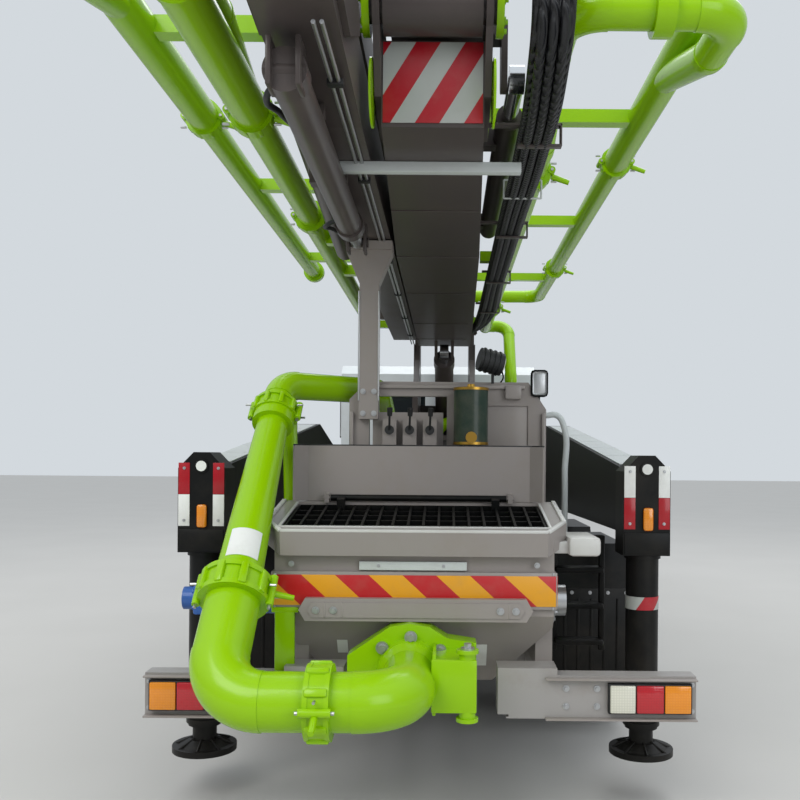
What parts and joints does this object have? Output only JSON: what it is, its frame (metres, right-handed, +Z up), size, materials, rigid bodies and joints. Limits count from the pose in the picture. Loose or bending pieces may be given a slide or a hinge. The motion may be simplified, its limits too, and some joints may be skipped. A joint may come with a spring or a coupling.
{
  "type": "truck-mounted concrete pump",
  "caption": "Three-axle truck with a folding concrete boom, swing-out legs, rear receiving hopper and delivery line.",
  "frame": {"origin": "on the ground under the middle of the whole truck with its boom stowed", "axes": "+Y to the front of the truck, +X to its right side, +Z up"},
  "size_m": [2.94, 11.5, 3.69],
  "materials": {
    "green": "gloss lime green paint",
    "boom_grey": "warm grey paint",
    "hopper_grey": "light grey paint",
    "black_steel": "satin black paint",
    "cab_white": "off-white paint",
    "steel": "bare and zinc plated steel",
    "rod_chrome": "hard chrome",
    "tyre": "road tyre rubber",
    "trim_plastic": "grained dark plastic",
    "seat_fabric": "woven seat cover",
    "lamp": "lamp lens",
    "motor_blue": "blue paint"
  },
  "bodies": {
    "truck": {"chassis": "hopper_grey", "axles": "black_steel", "engine": "steel", "cab_shell": "cab_white", "cab_trim": "trim_plastic", "cab_seats": "seat_fabric", "tanks": "steel", "deck": "steel", "pedestal": "boom_grey", "pump": "hopper_grey", "hopper": "hopper_grey", "splash_guard": "hopper_grey", "agitator_motor": "motor_blue", "outlet": "green", "riser": "green", "rear_frame": "hopper_grey", "grease_pump": "black_steel", "lamps": "lamp"},
    "door_left": {"door_left": "cab_white"},
    "door_right": {"door_right": "cab_white"},
    "knuckle_left": {"knuckle_left": "black_steel"},
    "knuckle_right": {"knuckle_right": "black_steel"},
    "luff_barrel": {"luff_barrel": "boom_grey"},
    "luff_rod": {"luff_rod": "rod_chrome"},
    "grate": {"grate": "black_steel"},
    "agitator": {"agitator": "steel"},
    "wheel_front_left": {"wheel_front_left": "tyre"},
    "wheel_front_right": {"wheel_front_right": "tyre"},
    "wheel_mid_left": {"wheel_mid_left": "tyre"},
    "wheel_mid_right": {"wheel_mid_right": "tyre"},
    "wheel_rear_left": {"wheel_rear_left": "tyre"},
    "wheel_rear_right": {"wheel_rear_right": "tyre"},
    "rod_1": {"rod_1": "rod_chrome"},
    "rod_2": {"rod_2": "rod_chrome"},
    "rod_3": {"rod_3": "rod_chrome"},
    "leg_front_left": {"leg_front_left": "black_steel"},
    "jack_front_left": {"jack_front_left": "steel"},
    "leg_front_right": {"leg_front_right": "black_steel"},
    "jack_front_right": {"jack_front_right": "steel"},
    "leg_rear_left": {"leg_rear_left": "black_steel"},
    "jack_rear_left": {"jack_rear_left": "steel"},
    "leg_rear_right": {"leg_rear_right": "black_steel"},
    "jack_rear_right": {"jack_rear_right": "steel"},
    "turret": {"turret": "boom_grey", "turret_pipe": "green"},
    "boom_1": {"boom_1": "boom_grey", "pipe_1": "green"},
    "boom_2": {"boom_2": "boom_grey", "pipe_2": "green"},
    "boom_3": {"boom_3": "boom_grey", "pipe_3": "green"},
    "boom_4": {"boom_4": "boom_grey", "pipe_4": "green"}
  },
  "joints": [
    {"name": "door_left_hinge", "type": "hinge", "parent": "truck", "child": "door_left", "pos_m": [-1.241, 5.276, 2], "axis": [0, 0, -1], "range_deg": [0, 75]},
    {"name": "steer_left", "type": "hinge", "parent": "truck", "child": "knuckle_left", "pos_m": [-0.88, 4.35, 0.54], "axis": [0, 0, 1], "range_deg": [-35, 35]},
    {"name": "spin_front_left", "type": "hinge", "parent": "knuckle_left", "child": "wheel_front_left", "pos_m": [-1.03, 4.35, 0.54], "axis": [1, 0, 0], "continuous": true},
    {"name": "spin_mid_left", "type": "hinge", "parent": "truck", "child": "wheel_mid_left", "pos_m": [-0.9345, -0.45, 0.54], "axis": [1, 0, 0], "continuous": true},
    {"name": "spin_rear_left", "type": "hinge", "parent": "truck", "child": "wheel_rear_left", "pos_m": [-0.9345, -1.8, 0.54], "axis": [1, 0, 0], "continuous": true},
    {"name": "leg_front_left_swing", "type": "hinge", "parent": "truck", "child": "leg_front_left", "pos_m": [-0.96, 2.95, 1.5], "axis": [0, 0, -1], "range_deg": [0, 110]},
    {"name": "jack_front_left_slide", "type": "slide", "parent": "leg_front_left", "child": "jack_front_left", "axis": [0, 0, -1], "range_m": [0, 0.4]},
    {"name": "leg_rear_left_swing", "type": "hinge", "parent": "truck", "child": "leg_rear_left", "pos_m": [-0.96, 0.62, 1.5], "axis": [0, 0, -1], "range_deg": [0, 45]},
    {"name": "jack_rear_left_slide", "type": "slide", "parent": "leg_rear_left", "child": "jack_rear_left", "axis": [0, 0, -1], "range_m": [0, 0.4]},
    {"name": "door_right_hinge", "type": "hinge", "parent": "truck", "child": "door_right", "pos_m": [1.241, 5.276, 2], "axis": [0, 0, 1], "range_deg": [0, 75]},
    {"name": "steer_right", "type": "hinge", "parent": "truck", "child": "knuckle_right", "pos_m": [0.88, 4.35, 0.54], "axis": [0, 0, 1], "range_deg": [-35, 35]},
    {"name": "spin_front_right", "type": "hinge", "parent": "knuckle_right", "child": "wheel_front_right", "pos_m": [1.03, 4.35, 0.54], "axis": [1, 0, 0], "continuous": true},
    {"name": "spin_mid_right", "type": "hinge", "parent": "truck", "child": "wheel_mid_right", "pos_m": [0.9345, -0.45, 0.54], "axis": [1, 0, 0], "continuous": true},
    {"name": "spin_rear_right", "type": "hinge", "parent": "truck", "child": "wheel_rear_right", "pos_m": [0.9345, -1.8, 0.54], "axis": [1, 0, 0], "continuous": true},
    {"name": "leg_front_right_swing", "type": "hinge", "parent": "truck", "child": "leg_front_right", "pos_m": [0.96, 2.95, 1.5], "axis": [0, 0, 1], "range_deg": [0, 110]},
    {"name": "jack_front_right_slide", "type": "slide", "parent": "leg_front_right", "child": "jack_front_right", "axis": [0, 0, -1], "range_m": [0, 0.4]},
    {"name": "leg_rear_right_swing", "type": "hinge", "parent": "truck", "child": "leg_rear_right", "pos_m": [0.96, 0.62, 1.5], "axis": [0, 0, 1], "range_deg": [0, 45]},
    {"name": "jack_rear_right_slide", "type": "slide", "parent": "leg_rear_right", "child": "jack_rear_right", "axis": [0, 0, -1], "range_m": [0, 0.4]},
    {"name": "slew", "type": "hinge", "parent": "truck", "child": "turret", "pos_m": [0, 2.35, 1.8], "axis": [0, 0, 1], "range_deg": [-180, 180]},
    {"name": "luff", "type": "hinge", "parent": "turret", "child": "boom_1", "pos_m": [0.05, 2.8, 3.25], "axis": [-1, 0, 0], "range_deg": [0, 82]},
    {"name": "knuckle_1", "type": "hinge", "parent": "boom_1", "child": "boom_2", "pos_m": [0.05, -4.75, 3.28], "axis": [1, 0, 0], "range_deg": [0, 180]},
    {"name": "knuckle_2", "type": "hinge", "parent": "boom_2", "child": "boom_3", "pos_m": [-0.32, 2.2, 3.5], "axis": [-1, 0, 0], "range_deg": [0, 180]},
    {"name": "knuckle_3", "type": "hinge", "parent": "boom_3", "child": "boom_4", "pos_m": [-0.32, -5.64, 3.21], "axis": [1, 0, 0], "range_deg": [0, 180]},
    {"name": "luff_barrel_pivot", "type": "hinge", "parent": "turret", "child": "luff_barrel", "pos_m": [0.08, 2.7, 2.15], "axis": [-1, 0, 0], "range_deg": [0, 50.22]},
    {"name": "luff_rod_slide", "type": "slide", "parent": "luff_barrel", "child": "luff_rod", "axis": [0, -0.893, 0.4501], "range_m": [0, 1.0374]},
    {"name": "rod_1_slide", "type": "slide", "parent": "boom_1", "child": "rod_1", "axis": [0, -1, 0], "range_m": [0, 0.451]},
    {"name": "rod_2_slide", "type": "slide", "parent": "boom_3", "child": "rod_2", "axis": [0, 1, 0], "range_m": [0, 0.401]},
    {"name": "rod_3_slide", "type": "slide", "parent": "boom_3", "child": "rod_3", "axis": [0, -0.9943, 0.1062], "range_m": [0, 0.451]},
    {"name": "grate_hinge", "type": "hinge", "parent": "truck", "child": "grate", "pos_m": [-0.035, -3.21332, 1.4773], "axis": [-1, 0, 0], "range_deg": [0, 80]},
    {"name": "agitator_spin", "type": "hinge", "parent": "truck", "child": "agitator", "pos_m": [-0.035, -3.535, 1], "axis": [1, 0, 0], "continuous": true}
  ],
  "couplings": [
    {"joint": "steer_right", "follows": "steer_left", "ratio": 1},
    {"joint": "luff_barrel_pivot", "follows": "luff", "ratio": 0.6112},
    {"joint": "luff_rod_slide", "follows": "luff", "m_per_rad": 0.72344},
    {"joint": "rod_1_slide", "follows": "knuckle_1", "m_per_rad": 0.14324},
    {"joint": "rod_2_slide", "follows": "knuckle_2", "m_per_rad": 0.12732},
    {"joint": "rod_3_slide", "follows": "knuckle_3", "m_per_rad": 0.14324}
  ]
}
